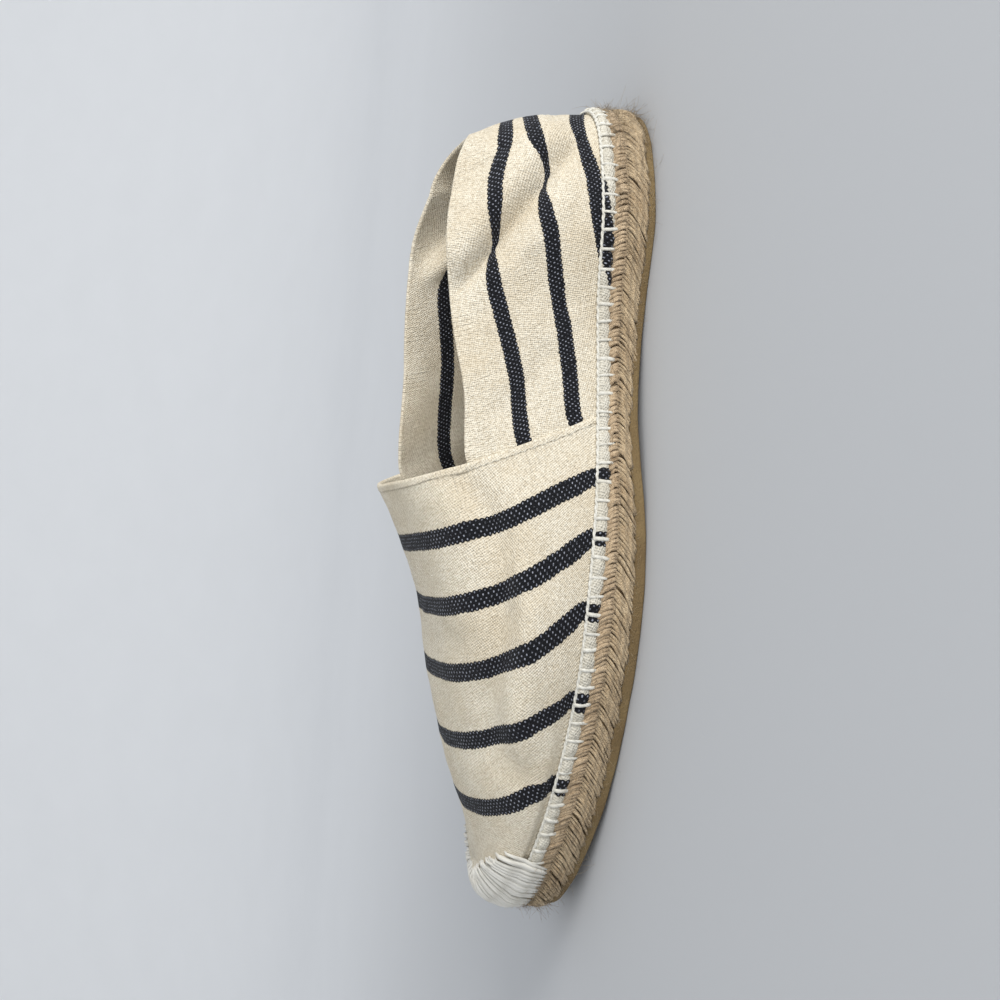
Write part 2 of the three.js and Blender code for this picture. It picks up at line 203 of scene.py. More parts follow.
def outline(turn, outset=0.0):
    """x, y and how squarely the edge faces the side, outset millimetres outside the outline."""
    turn = np.asarray(turn, float)
    spread = 0.004
    along = outline_point(turn + spread) - outline_point(turn - spread)
    along /= np.linalg.norm(along, axis=-1, keepdims=True)
    here = outline_point(turn)
    x = here[..., 0] + along[..., 1] * outset
    y = here[..., 1] - along[..., 0] * outset
    return x, y, along[..., 1]


# Heights above the floor


def sole_underside(y):
    s = from_toe(y)
    toe = np.clip(1 - s / BALL_PAD_START, 0, 1)
    arch = np.clip((s - BALL_PAD_END) / (HEEL_PAD_START - BALL_PAD_END), 0, 1)
    return TOE_SPRING * toe * toe + ARCH_RISE * np.sin(math.pi * arch) ** 2


def outsole_top(y):
    thick = mix(OUTSOLE_AT_BALL, OUTSOLE_AT_HEEL, smoothstep(BALL_PAD_END, HEEL_PAD_START, from_toe(y)))
    return sole_underside(y) + thick


def hem_top(y):
    s = from_toe(y)
    toe = np.clip(1 - s / TOE_HEM_END, 0, 1)
    waist = np.clip((s - WAIST_HEM_START) / (WAIST_HEM_END - WAIST_HEM_START), 0, 1)
    return HEM_HEIGHT + TOE_HEM_RISE * toe**1.7 - WAIST_HEM_DIP * np.sin(math.pi * waist) ** 2


# The upper's own form: ribs that rise from the hem


def stack3(x, y, z):
    return np.stack(np.broadcast_arrays(x, y, z), -1)


def vamp_point(turn, height):
    foot_x, foot_y, facing = outline(turn, -HEM_INSET)
    along = from_toe(foot_y)
    square = column(RIDGE, "hem", "square", along)
    angle = np.clip(height, 0, 1) * math.pi / 2
    across = 1 - np.maximum(np.cos(angle), 0) ** (2 / square)
    up = np.sin(angle) ** (2 / square)
    top_y = column(RIDGE, "hem", "top", along) * MOUTH_FROM_TOE - SOLE_LENGTH / 2
    top_z = mix(TOE_BOX_HEIGHT, INSTEP_HEIGHT, column(RIDGE, "hem", "rise", along))
    top_x = middle_line(top_y) - LEAN_AT_MOUTH * column(RIDGE, "hem", "lean", along)
    back = mix(across, up * (1.25 - 0.25 * up), facing**2)
    foot_z = hem_top(foot_y) + CORD_RADIUS
    return stack3(mix(foot_x, top_x, across), mix(foot_y, top_y, back), mix(foot_z, top_z, up))


def collar_point(turn):
    side, arc = side_and_arc(turn)
    last = COLLAR["at"][-1]
    reached = np.minimum(arc, last)
    left = column(COLLAR, "at", "left", reached)
    right = column(COLLAR, "at", "right", reached)
    x = np.where(side > 0, left, right) * HEEL_WIDTH
    y = column(COLLAR, "at", "fore", reached) * SOLE_LENGTH - SOLE_LENGTH / 2
    low = column(COLLAR, "at", "low", reached)
    high = column(COLLAR, "at", "high", reached)
    z = np.where(side > 0, low, high) * QUARTER_HEIGHT
    heel_y = outline(1.0, -HEM_INSET)[1] - HEEL_LEAN
    bend = np.clip((arc - last) / (1 - last), 0, 1) * math.pi / 2
    round_back = np.sin(bend)
    return stack3(side * x * np.cos(bend), mix(y, heel_y, round_back), mix(z, HEEL_HEIGHT, round_back**2))


def junction(turn):
    return np.where(side_and_arc(turn)[0] > 0, JUNCTION_LEFT, JUNCTION_RIGHT)


def quarter_point(turn, height):
    foot_y = outline(turn, -HEM_INSET)[1]
    top = collar_point(turn)
    swell = QUARTER_SWELL * np.sin(math.pi * np.clip(height, 0, 1))
    x, y, _ = outline(turn, swell - HEM_INSET)
    straight = stack3(
        mix(x, top[..., 0], height),
        mix(y, top[..., 1], height),
        mix(hem_top(foot_y) + CORD_RADIUS, top[..., 2], height),
    )
    lapped = vamp_point(turn, height * junction(turn))
    share = smoothstep(MOUTH_ARC, MOUTH_ARC + JUNCTION_SPREAD, side_and_arc(turn)[1])
    return mix(lapped, straight, np.asarray(share)[..., None])


# Meshes


def quads_of_grid(rows, columns, closed=False):
    """Faces of a grid of points counted row by row, their front towards row x column."""
    last = columns if closed else columns - 1
    r, c = np.meshgrid(np.arange(rows - 1), np.arange(last), indexing="ij")
    a = r * columns + c
    b = r * columns + (c + 1) % columns
    return np.stack([a, b, b + columns, a + columns], -1).reshape(-1, 4)


def point_normals(points, quads):
    corners = points[quads]
    area = np.cross(corners[:, 2] - corners[:, 0], corners[:, 3] - corners[:, 1])
    normals = np.zeros_like(points)
    for k in range(4):
        np.add.at(normals, quads[:, k], area)
    return unit(normals)


def free_edges(quads):
    """Directed edges that only one face has, in the order of that face."""
    edges = np.concatenate([quads[:, [k, (k + 1) % 4]] for k in range(4)])
    edges = edges[edges[:, 0] != edges[:, 1]]
    size = int(quads.max()) + 1
    there = set((edges[:, 0] * size + edges[:, 1]).tolist())
    return np.array([(a, b) for a, b in edges if int(b) * size + int(a) not in there])


def thick_cloth(middle, quads, thickness, rim_steps=3):
    """A sheet of cloth round its middle surface: two faces and a rounded edge.
    Gives points, faces and, for each point, the point of the middle surface it came from."""
    count = len(middle)
    normals = point_normals(middle, quads)
    half = np.broadcast_to(np.asarray(thickness, float) / 2, (count,))[:, None]
    edges = free_edges(quads)
    follow = dict(edges.tolist())
    before = {b: a for a, b in follow.items()}
    rim = np.array(sorted(follow))
    along = middle[[follow[i] for i in rim]] - middle[[before[i] for i in rim]]
    out = unit(np.cross(along, normals[rim]))
    points = [middle + normals * half, middle - normals * half]
    source = [np.arange(count), np.arange(count)]
    place = np.full(count, -1)
    place[rim] = np.arange(len(rim))
    rows = [lambda i: i]
    for step in range(1, rim_steps):
        bend = math.pi * step / rim_steps
        points.append(middle[rim] + (normals[rim] * math.cos(bend) + out * math.sin(bend)) * half[rim])
        source.append(rim)
        start = 2 * count + (step - 1) * len(rim)
        rows.append(lambda i, start=start: start + place[i])
    rows.append(lambda i: i + count)
    a, b = edges[:, 0], edges[:, 1]
    faces = [quads, quads[:, ::-1] + count]
    for low, high in zip(rows[:-1], rows[1:]):
        faces.append(np.stack([low(a), high(a), high(b), low(b)], 1))
    return np.concatenate(points), np.concatenate(faces), np.concatenate(source)


def tubes(paths, up, width, depth, sides=6):
    """Closed tubes with pointed ends.
    paths and up: tubes x steps x 3. width and depth: half sizes, tubes x steps."""
    paths = np.asarray(paths, float)
    count, steps = paths.shape[:2]
    along = unit(np.gradient(paths, axis=1))
    across = unit(np.cross(along, np.broadcast_to(up, paths.shape)))
    rise = np.cross(across, along)
    width = np.broadcast_to(width, (count, steps))[..., None, None]
    depth = np.broadcast_to(depth, (count, steps))[..., None, None]
    turn = 2 * math.pi * np.arange(sides) / sides
    cos, sin = np.cos(turn)[:, None], np.sin(turn)[:, None]
    rings = paths[:, :, None] + across[:, :, None] * cos * width + rise[:, :, None] * sin * depth
    points = rings.reshape(-1, 3)
    one = quads_of_grid(steps, sides, closed=True)[:, ::-1]
    size = steps * sides
    quads = (one[None] + (np.arange(count) * size)[:, None, None]).reshape(-1, 4)
    first = np.arange(sides)
    caps = []
    ends = np.concatenate([paths[:, 0], paths[:, -1]])
    for k in range(count):
        tip, tail = count * size + k, count * size + count + k
        low, high = k * size, k * size + size - sides
        caps += [(tip, low + i, low + (i + 1) % sides) for i in first]
        caps += [(tail, high + (i + 1) % sides, high + i) for i in first]
    return np.concatenate([points, ends]), quads, np.array(caps)


SHIFT = np.zeros(3)


def add_object(name, data):
    added = bpy.data.objects.new(name, data)
    bpy.context.scene.collection.objects.link(added)
    return added


def make_piece(name, points, faces, material, replaces=(), values=None, triangles=None):
    """A smooth mesh in the frame that rides on the shoe. values: named numbers or vectors for its points."""
    mesh = bpy.data.meshes.new(name)
    every = faces.tolist() + ([] if triangles is None else triangles.tolist())
    mesh.from_pydata(((points + SHIFT) * MM).tolist(), [], every)
    mesh.update()
    mesh.shade_smooth()
    for key, numbers in (values or {}).items():
        numbers = np.asarray(numbers, np.float32)
        vector = numbers.ndim == 2
        layer = mesh.attributes.new(key, "FLOAT_VECTOR" if vector else "FLOAT", "POINT")
        layer.data.foreach_set("vector" if vector else "value", numbers.ravel())
    mesh.materials.append(material)
    piece = add_object(name, mesh)
    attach(piece, "root")
    if replaces:
        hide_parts(*replaces)
    return piece


def tube_values(paths, sides, tone):
    """What the yarn finishes read: the place round and along each tube, and a tone for each."""
    count, steps = np.asarray(paths).shape[:2]
    stride = np.linalg.norm(np.diff(paths, axis=1), axis=2)
    along = np.concatenate([np.zeros((count, 1)), np.cumsum(stride, axis=1)], axis=1)
    turn = 2 * math.pi * np.arange(sides) / sides
    ply = stack3(np.cos(turn)[None, None], np.sin(turn)[None, None], along[..., None]).reshape(-1, 3)
    centre = np.zeros((count, 3))
    last = stack3(np.zeros(count), np.zeros(count), along[:, -1])
    tones = np.concatenate([np.repeat(tone, steps * sides), tone, tone])
    return {"ply": np.concatenate([ply, centre, last]), "tone": tones}


def make_tubes(name, paths, up, width, depth, material, tone, replaces=(), sides=6):
    points, quads, caps = tubes(paths, up, width, depth, sides)
    values = tube_values(paths, sides, tone)
    return make_piece(name, points, quads, material, replaces, values, caps)


def spindle(steps, tip=0.25, power=0.5):
    """Thick in the middle and thin at both ends."""
    share = np.linspace(0, 1, steps)
    return tip + (1 - tip) * (4 * share * (1 - share)) ** power


# Shader maths


def operator(operation, turned=False):
    """A method that puts one maths node on a Field and what it is combined with."""

    def method(self, *others):
        values = (self, *others)
        inputs = dict(enumerate(values[::-1] if turned else values))
        return self.finish.node("ShaderNodeMath", {"operation": operation}, inputs)

    return method


class Field:
    """A number that a finish works out at each point of a surface."""

    __add__ = operator("ADD")
    __radd__ = operator("ADD", turned=True)
    __sub__ = operator("SUBTRACT")
    __rsub__ = operator("SUBTRACT", turned=True)
    __mul__ = operator("MULTIPLY")
    __abs__ = operator("ABSOLUTE")
    round = operator("ROUND")
    cos = operator("COSINE")
    sin = operator("SINE")

    def __init__(self, finish, socket):
        self.finish = finish
        self.socket = socket

    def between(self, low, high):
        """0 up to low and 1 from high, with a soft step."""
        settings = {"interpolation_type": "SMOOTHSTEP"}
        return self.finish.node("ShaderNodeMapRange", settings, {0: self, 1: low, 2: high})


def colour(red, green, blue):
    """The linear colour of a colour as it looks on a screen, 0 to 255."""
    values = [value / 255 for value in (red, green, blue)]
    return [v / 12.92 if v <= 0.04045 else ((v + 0.055) / 1.055) ** 2.4 for v in values] + [1.0]


class Finish:
    """The nodes of one material. place is the place on the shoe, in millimetres."""

    def __init__(self, name):
        self.material = bpy.data.materials.new(name)
        self.material.use_nodes = True
        self.tree = self.material.node_tree
        self.shader = self.tree.nodes["Principled BSDF"]
        here = self.node("ShaderNodeTexCoord", None, None, "Object")
        inputs = {0: here, "Scale": 1 / MM}
        self.place = self.node("ShaderNodeVectorMath", {"operation": "SCALE"}, inputs)

    def node(self, kind, settings=None, inputs=None, output=0):
        node = self.tree.nodes.new(kind)
        for key, value in (settings or {}).items():
            setattr(node, key, value)
        for key, value in (inputs or {}).items():
            self.feed(node.inputs[key], value)
        return Field(self, node.outputs[output])

    def feed(self, socket, value):
        if isinstance(value, Field):
            self.tree.links.new(value.socket, socket)
        else:
            socket.default_value = colour(*value) if isinstance(value, tuple) else value

    def attribute(self, name):
        return self.node("ShaderNodeAttribute", {"attribute_name": name}, output="Vector")

    def number(self, name):
        return self.node("ShaderNodeAttribute", {"attribute_name": name}, output="Fac")

    def split(self, vector):
        return [self.node("ShaderNodeSeparateXYZ", None, {0: vector}, axis) for axis in range(3)]

    def join(self, x, y, z):
        return self.node("ShaderNodeCombineXYZ", None, {0: x, 1: y, 2: z})

    def noise(self, vector, scale, detail=3.0, roughness=0.55):
        inputs = {"Vector": vector, "Scale": scale, "Detail": detail, "Roughness": roughness}
        return self.node("ShaderNodeTexNoise", None, inputs, "Fac")

    def mottle(self, *how):
        """Noise by the place on the shoe."""
        return self.noise(self.place, *how)

    def blend(self, factor, first, second):
        return self.node("ShaderNodeMix", {"data_type": "RGBA"}, {0: factor, 6: first, 7: second}, 2)

    def bump(self, height, depth):
        """A relief of the height's own form, depth millimetres deep."""
        return self.node("ShaderNodeBump", None, {"Height": height, "Distance": depth * MM})

    def set(self, **inputs):
        for key, value in inputs.items():
            self.feed(self.shader.inputs[key.replace("_", " ")], value)
        return self.material


# Sizes of the weave, in millimetres
STRIPE_HALF = 2.6
SCALLOP = 0.42
THREAD_ROW = 1.12
THREAD_DOT = 1.5
WEAVE = 1.05
FOLD_FROM_EDGE = 1.7
NO_FOLD = 9.0
FOOTBED_WEAVE = 0.8
YARN_TWIST = 3.6
FULL_TURN = 2 * math.pi


def canvas_finish(name, light, shade, gap):
    """Natural cotton with woven navy stripes, each with scalloped edges and rows of pale dots."""
    finish = Finish(name)
    q, t, scale = finish.split(finish.attribute("cloth"))
    u, v, edge = finish.split(finish.attribute("weave"))
    wander = finish.mottle(0.45, 2.0) - 0.5
    across = (q - q.round()) * scale + wander * 0.9
    width = abs((t * (math.pi / THREAD_DOT)).cos()) * SCALLOP + STRIPE_HALF
    stripe = (width - abs(across)).between(-0.1, 0.14)
    dots = (across * (math.pi / THREAD_ROW)).cos() * (t * (FULL_TURN / THREAD_DOT)).cos()
    dots = dots.between(0.45, 0.9) * finish.mottle(1.1, 2.0).between(0.34, 0.56)
    drift = finish.mottle(0.5, 2.0) * 0.9
    over = ((u + v * 0.5 + drift) * (FULL_TURN / WEAVE)).sin()
    under = ((v - u * 0.35 + drift) * (FULL_TURN / WEAVE)).sin()
    weave = over * under
    grain = finish.mottle(1.25, 3.0, 0.7)
    slub = finish.noise(finish.join(u * 0.1, v * 1.5, 0.0), 1.0, 2.0).between(0.5, 0.75)
    weft = finish.noise(finish.join(u * 1.5, v * 0.1, 4.0), 1.0, 2.0).between(0.5, 0.75)
    tone = finish.mottle(0.05, 4.0).between(0.32, 0.7)
    cotton = finish.blend(tone, light, shade)
    cotton = finish.blend(slub * 0.3, cotton, (246, 240, 224))
    cotton = finish.blend(weft * 0.3, cotton, gap)
    cotton = finish.blend(weave.between(-1.0, 0.1) * 0.5 + 0.5, gap, cotton)
    cotton = finish.blend(grain.between(0.6, 0.36) * 0.55, cotton, gap)
    fleck = finish.mottle(1.5, 1.0).between(0.73, 0.79)
    cotton = finish.blend(fleck * 0.6, cotton, (128, 102, 70))
    navy = finish.blend(finish.mottle(0.8), (3, 4, 8), (10, 12, 21))
    navy = finish.blend(dots * 0.9, navy, (158, 162, 174))
    cloth = finish.blend(stripe, cotton, navy)
    # The fold line near the vamp's edge is sunk in the bump and darkened in colour: painted shade in the
    # fold.
    fold_groove_and_shade = 1 - abs(edge - FOLD_FROM_EDGE).between(0.0, 0.42)
    cloth = finish.blend(fold_groove_and_shade * 0.25, cloth, (112, 96, 70))
    height = weave * 0.5 + stripe * (over * 0.3 + 0.5) + slub * 0.5 + dots * 0.7 - fold_groove_and_shade
    height = height + grain * 1.3
    return finish.set(
        Base_Color=cloth,
        Roughness=0.9 - stripe * 0.08,
        Normal=finish.bump(height, 0.26),
        Sheen_Weight=0.05,
        Specular_IOR_Level=0.25,
    )


def plied(finish, pitch):
    """The place round and along a yarn, its own tone, and plies that wind once in pitch millimetres."""
    cos, sin, along = finish.split(finish.attribute("ply"))
    turn = along * (FULL_TURN / pitch)
    return cos, sin, along, finish.number("tone"), turn.sin() * cos + turn.cos() * sin


def yarn_finish(name, dark, light):
    """Loose plant fibre: streaks along the yarn, a slow twist and a red-brown stain at the toe."""
    finish = Finish(name)
    cos, sin, along, tone, twist = plied(finish, YARN_TWIST)
    strands = finish.noise(finish.join(cos * 1.4 + twist, sin * 1.4, along * 0.22 + tone * 40), 2.2, 4.0)
    patch = finish.mottle(0.11, 3.0).between(0.35, 0.65)
    shade = strands.between(0.3, 0.7) * 0.65 + tone * 0.25 + patch * 0.2
    fibre = finish.blend(shade, dark, light)
    toe = finish.split(finish.place)[1].between(-122.0, -129.0)
    stain = toe * finish.mottle(0.12).between(0.4, 0.6) * 0.85
    fibre = finish.blend(stain, fibre, (150, 84, 58))
    height = strands * 2.2 + twist * 0.5 + finish.mottle(2.4, 3.0) * 1.6
    return finish.set(Base_Color=fibre, Roughness=0.92, Normal=finish.bump(height, 0.3), Sheen_Weight=0.12)


def thread_finish(name, pitch, depth, light):
    """White cotton thread of two plies."""
    finish = Finish(name)
    cos, sin, along, tone, ply = plied(finish, pitch)
    fibres = finish.noise(finish.join(cos * 2 + ply, sin * 2, along * 0.35), 2.6, 4.0)
    white = finish.blend(tone * 0.5 + fibres * 0.5, (203, 200, 190), light)
    white = finish.blend(ply.between(-1.0, -0.3) * depth + (1 - depth), (168, 163, 150), white)
    grime = finish.mottle(0.09).between(0.5, 0.75)
    white = finish.blend(grime * 0.35, white, (186, 178, 158))
    height = ply * depth + fibres * 0.9
    return finish.set(Base_Color=white, Roughness=0.86, Normal=finish.bump(height, 0.16), Sheen_Weight=0.15)


def rubber_finish():
    """Crepe rubber: ochre darkened with painted shade, darker and browner towards the braid for painted
    shade under it, with a crumbly skin.
    """
    finish = Finish("crepe_rubber")
    rise = finish.number("rise")
    crumb = finish.mottle(1.6, 5.0, 0.7)
    patch = finish.mottle(0.06, 3.0)
    # The ochre is darkened with painted shade.
    skin = finish.blend(patch.between(0.35, 0.65), (134, 113, 75), (118, 97, 62))
    # Darker still towards the braid: painted shade under the braid's edge.
    skin = finish.blend(rise.between(0.45, 1.0) * 0.7, skin, (100, 80, 50))
    skin = finish.blend(crumb.between(0.5, 0.75) * 0.4, skin, (112, 91, 58))
    speck = finish.mottle(2.4, 1.0).between(0.72, 0.78)
    skin = finish.blend(speck * 0.5, skin, (88, 70, 44))
    worn = (1 - rise.between(0.0, 0.25)) * finish.mottle(0.3).between(0.45, 0.6)
    skin = finish.blend(worn * 0.45, skin, (150, 131, 94))
    height = crumb * 1.6 + finish.mottle(0.4, 2.0)
    return finish.set(Base_Color=skin, Roughness=0.72 + crumb * 0.15, Normal=finish.bump(height, 0.35))


def footbed_finish():
    """Plain natural cotton cloth, a little uneven in tone in broad patches."""
    finish = Finish("footbed_cloth")
    x, y, _ = finish.split(finish.place)
    weave = (x * (FULL_TURN / FOOTBED_WEAVE)).sin() * (y * (FULL_TURN / FOOTBED_WEAVE)).sin()
    patch = finish.mottle(0.04, 4.0).between(0.35, 0.65)
    cloth = finish.blend(patch, (206, 188, 150), (186, 165, 124))
    cloth = finish.blend(weave.between(-1.0, 0.2) * 0.5 + 0.5, (150, 130, 92), cloth)
    height = weave + finish.mottle(1.5) * 0.8
    return finish.set(Base_Color=cloth, Roughness=0.9, Normal=finish.bump(height, 0.2))


def plain_jute_finish():
    """The rope behind the braid, darker than the braid's yarn: its own jute colour with painted shade for
    the gaps between the strands.
    """
    finish = Finish("jute_core")
    grain = finish.mottle(1.3, 4.0)
    rope = finish.blend(grain.between(0.35, 0.65), (140, 114, 80), (178, 152, 114))
    return finish.set(Base_Color=rope, Roughness=0.95, Normal=finish.bump(grain, 0.6))


# Folds and stripes of the cloth

# Which stripe meets the hem where, as a share of the sole's length from the toe
STRIPES = {
    "hem": [0.0, 0.09, 0.179, 0.283, 0.387, 0.469, 0.54, 0.628, 1.0],
    "stripe": [-1.0, 0.0, 1.0, 2.0, 3.0, 4.0, 5.0, 6.1, 10.0],
}
# The shift of the stripe count above the hem, in stripes
STRIPE_SAG = {"stripe": [0, 1, 2, 3, 4, 5, 6], "sag": [0, -0.1, -0.07, 0.06, 0.05, 0.075, 0]}
# How far below the collar each stripe lies round the flank: the slack heel draws them up
QUARTER_STRIPES = {
    "at": [0.55, 0.61, 0.68, 0.75, 0.81, 0.863, 0.895, 0.933, 0.972, 1.0],
    "first": [18.0, 17.5, 16.1, 15.1, 13.6, 15.6, 15.4, 16.5, 13.2, 13.0],
    "second": [34.8, 34.4, 33.2, 33.6, 33.2, 30.6, 31.0, 26.5, 21.0, 20.5],
    "third": [53.5, 53.0, 52.0, 51.0, 49.0, 47.0, 44.0, 40.5, 36.6, 36.3],
}
# Millimetres from stripe to stripe on the vamp, and the counts between which stripes are woven
STRIPE_STEP = 21.0
VAMP_WOVEN = (0.55, 5.45)
QUARTER_WOVEN = (0.55, 3.45)
# Rounds the stripes off where they meet at the very back
BACK_ROUND = 0.012
# How far above a fold the cloth folds over, and how far off it stripes are drawn in
FOLD_OVER = 6.5
PINCH_WIDTH = 3.2


def new_crease(side, from_toe, z, depth, width, steep=0.0, pinch=0.0):
    """A soft trough or ridge along a line, by distance from the toe and height above the floor.
    steep folds the cloth above the line over it, and pinch draws the stripes in there."""
    knots = np.stack([from_toe, z], -1).astype(float)
    return {"side": side, "knots": knots, "depth": depth, "width": width, "steep": steep, "pinch": pinch}


HEEL_FOLD = (
    [243, 235.5, 229.6, 222.8, 214.7, 208, 203, 194, 187.6],
    [20, 27.4, 32.6, 36, 41.4, 45.7, 48.9, 54.5, 60],
)
VAMP_TROUGH = (
    [141, 136, 127, 116, 108, 94, 82, 70, 55, 39],
    [57, 53, 46.5, 42.5, 40.3, 38.5, 39.5, 39.5, 37.6, 34.6],
)
CREASES = [
    new_crease(1, *HEEL_FOLD, -3.2, 2.5, steep=4.8, pinch=1.7),
    new_crease(1, [232, 222, 211, 200, 190], [22, 28, 33, 39, 47], 1.2, 4.5),
    new_crease(1, [205, 197, 190, 183], [38, 33, 28, 24], -1.1, 5.0),
    new_crease(1, *VAMP_TROUGH, -3.0, 4.2),
    new_crease(1, [134, 118, 100, 84], [61, 53, 50, 48], 1.6, 5.0),
    new_crease(1, [116, 101.5, 90.5, 80.8, 65.8, 47.5], [37, 34, 33, 32, 32, 30.5], 2.0, 4.6),
    new_crease(1, [128, 118, 108, 98], [24, 26, 28, 31], -1.0, 4.5),
    new_crease(1, [178, 168, 158, 150], [28, 32, 38, 46], -1.1, 5.0),
    new_crease(1, [60, 52, 46, 42], [38, 32, 27, 23], -0.9, 3.8),
    new_crease(-1, [246, 236, 224, 210, 196], [24, 32, 40, 49, 61], -2.4, 3.0, steep=3.2, pinch=1.0),
    new_crease(-1, [240, 226, 213, 201], [20, 28, 35, 44], 1.0, 5.0),
    new_crease(-1, [134, 112, 90, 66, 44], [52, 44, 39, 36, 34], -1.8, 5.5),
    new_crease(-1, [170, 158, 148, 141], [26, 31, 38, 46], -1.1, 5.0),
    new_crease(-1, [64, 56, 49, 44], [40, 34, 29, 25], -0.8, 4.0),
]


def crease_share(points, crease):
    """How far off the line of the crease, above it or below, and how strong the crease is there."""
    knots = crease["knots"]
    stops = np.concatenate([[0], np.cumsum(np.linalg.norm(np.diff(knots, axis=0), axis=1))])
    at = np.linspace(0, stops[-1], 40)
    line = np.stack([np.interp(at, stops, knots[:, k]) for k in (0, 1)], -1)
    here = np.stack([points[:, 1] + SOLE_LENGTH / 2, points[:, 2]], -1)
    away = np.linalg.norm(here[:, None] - line[None], axis=2)
    nearest = away.argmin(axis=1)
    share = at[nearest] / stops[-1]
    taper = smoothstep(-0.02, 0.2, share) * smoothstep(-0.02, 0.2, 1 - share)
    side = smoothstep(-4.0, 4.0, crease["side"] * (points[:, 0] - middle_line(points[:, 1]) + 3.0))
    along = np.gradient(line, axis=0)[nearest]
    off = here - line[nearest]
    above = np.sign(along[:, 1] * off[:, 0] - along[:, 0] * off[:, 1])
    return away[np.arange(len(points)), nearest] * above, taper * side


def crease_lift(points, crease):
    off, share = crease_share(points, crease)
    lift = crease["depth"] * np.exp(-((off / crease["width"]) ** 2))
    beyond = np.maximum(off, 0) / FOLD_OVER
    lift = lift + crease["steep"] * beyond**1.2 * np.exp(1.2 * (1 - beyond)) * (off > 0)
    return lift * share


def crease_pinch(points):
    """How much narrower a stripe looks where it runs into a fold."""
    pinch = np.zeros(len(points))
    for crease in CREASES:
        off, share = crease_share(points, crease)
        pinch += crease["pinch"] * np.exp(-((off / PINCH_WIDTH) ** 2)) * share
    return pinch


def slack(points, hold):
    """How far the cloth lies off its smooth form, by creases and a slow unevenness.
    hold: 0 where it is sewn down and 1 where it is free."""
    rise = sum(crease_lift(points, crease) for crease in CREASES)
    x, y, z = points.T
    rise = rise + 0.28 * np.sin(x * 0.19 + y * 0.13 + 0.4) * np.sin(z * 0.23 - y * 0.07 + 1.1)
    rise = rise + 0.14 * np.sin(x * 0.41 - y * 0.31 + 2.0) * np.sin(z * 0.5 + y * 0.17)
    return rise * hold


def grid_lengths(grid, axis):
    """Millimetres travelled along one way of a grid of points."""
    stride = np.linalg.norm(np.diff(grid, axis=axis), axis=2)
    start = np.zeros_like(np.take(stride, [0], axis=axis))
    return np.concatenate([start, np.cumsum(stride, axis=axis)], axis=axis)


def stripe_scale(grid, q):
    """Millimetres of cloth, square to the stripes, for each step of q."""
    rows = np.gradient(grid, axis=0)
    columns = np.gradient(grid, axis=1)
    area = np.linalg.norm(np.cross(rows, columns), axis=2)
    q_row = np.gradient(q, axis=0)
    q_column = np.gradient(q, axis=1)
    climb = np.linalg.norm(q_row[..., None] * columns - q_column[..., None] * rows, axis=2)
    return np.clip(area / np.maximum(climb, 1e-6), 8.0, 34.0)


def sew(name, grid, quads, lift, hold, cloth, weave, thickness, material):
    """Thick cloth on a grid of points, lifted along its own normals and slackened."""
    flat = grid.reshape(-1, 3)
    normals = point_normals(flat, quads)
    middle = flat + normals * (lift.ravel() + slack(flat, hold.ravel()))[:, None]
    cloth = cloth.reshape(-1, 3).copy()
    cloth[:, 2] *= 1 + crease_pinch(flat)
    points, faces, source = thick_cloth(middle, quads, thickness.ravel())
    used = np.unique(faces)
    place = np.full(len(points), -1)
    place[used] = np.arange(len(used))
    values = {"cloth": cloth[source][used], "weave": weave.reshape(-1, 3)[source][used]}
    return make_piece(name, points[used], place[faces], material, ["upper"], values)


# How far the cloth reaches under the hem thread, and the shares of its height
# over which the hem holds it and over which it steps out past the thread
TUCK = 3.0
HELD = 0.22
STEP_SHARE = 0.12


def with_tuck(grid):
    under = grid[:1] - np.array([0, 0, CORD_RADIUS + TUCK])
    return np.concatenate([under, grid])


def vamp_grid():
    """Columns round the toe from flank to flank, rows from under the hem thread up to the ridge."""
    half = np.concatenate([np.linspace(0, 0.588, 100), np.linspace(0.5905, MOUTH_ARC, 9)])
    turns = np.concatenate([-half[:0:-1], half])
    heights = np.linspace(0, 1, 58)
    turn, height = np.meshgrid(turns, heights)
    grid = vamp_point(turn, height)
    ridge = (grid[-1] + grid[-1, ::-1]) / 2
    grid = grid + (ridge - grid[-1])[None] * smoothstep(0.5, 1.0, heights)[:, None, None]
    return turns, heights, with_tuck(grid)


def vamp(material):
    turns, heights, grid = vamp_grid()
    rows, columns = grid.shape[:2]
    index = np.arange(rows * columns).reshape(rows, columns)
    index[-1] = np.maximum(index[-1], index[-1, ::-1])
    quads = index.ravel()[quads_of_grid(rows, columns)]
    foot = from_toe(outline(turns, -HEM_INSET)[1])
    q = np.broadcast_to(column(STRIPES, "hem", "stripe", foot), (rows, columns))
    levels = np.concatenate([[0], heights])[:, None]
    q = q + np.interp(q, STRIPE_SAG["stripe"], STRIPE_SAG["sag"]) * smoothstep(0.0, 0.25, levels)
    scale = stripe_scale(grid, q)
    down = grid_lengths(grid[::-1], 0)[::-1]
    across = grid_lengths(grid, 1)
    edge = np.minimum(across, across[:, -1:] - across)
    edge[-1] = np.minimum(edge[-2], edge[-1])
    hold = smoothstep(0.0, HELD, levels) * smoothstep(0.08, 0.2, foot)
    lift = SEAM_STEP * smoothstep(0, STEP_SHARE, levels) * np.ones(columns) - CANVAS / 2
    cloth = stack3(np.clip(q, *VAMP_WOVEN), down, scale)
    weave = stack3(q * STRIPE_STEP, down, edge)
    thickness = CANVAS + 0.5 * (1 - smoothstep(1.5, 2.1, edge))
    return sew("vamp", grid, quads, lift, hold, cloth, weave, thickness, material)


# How far the quarters reach under the vamp, and how much narrower their stripes are
LAP = 9.0
NARROWER = 1.2


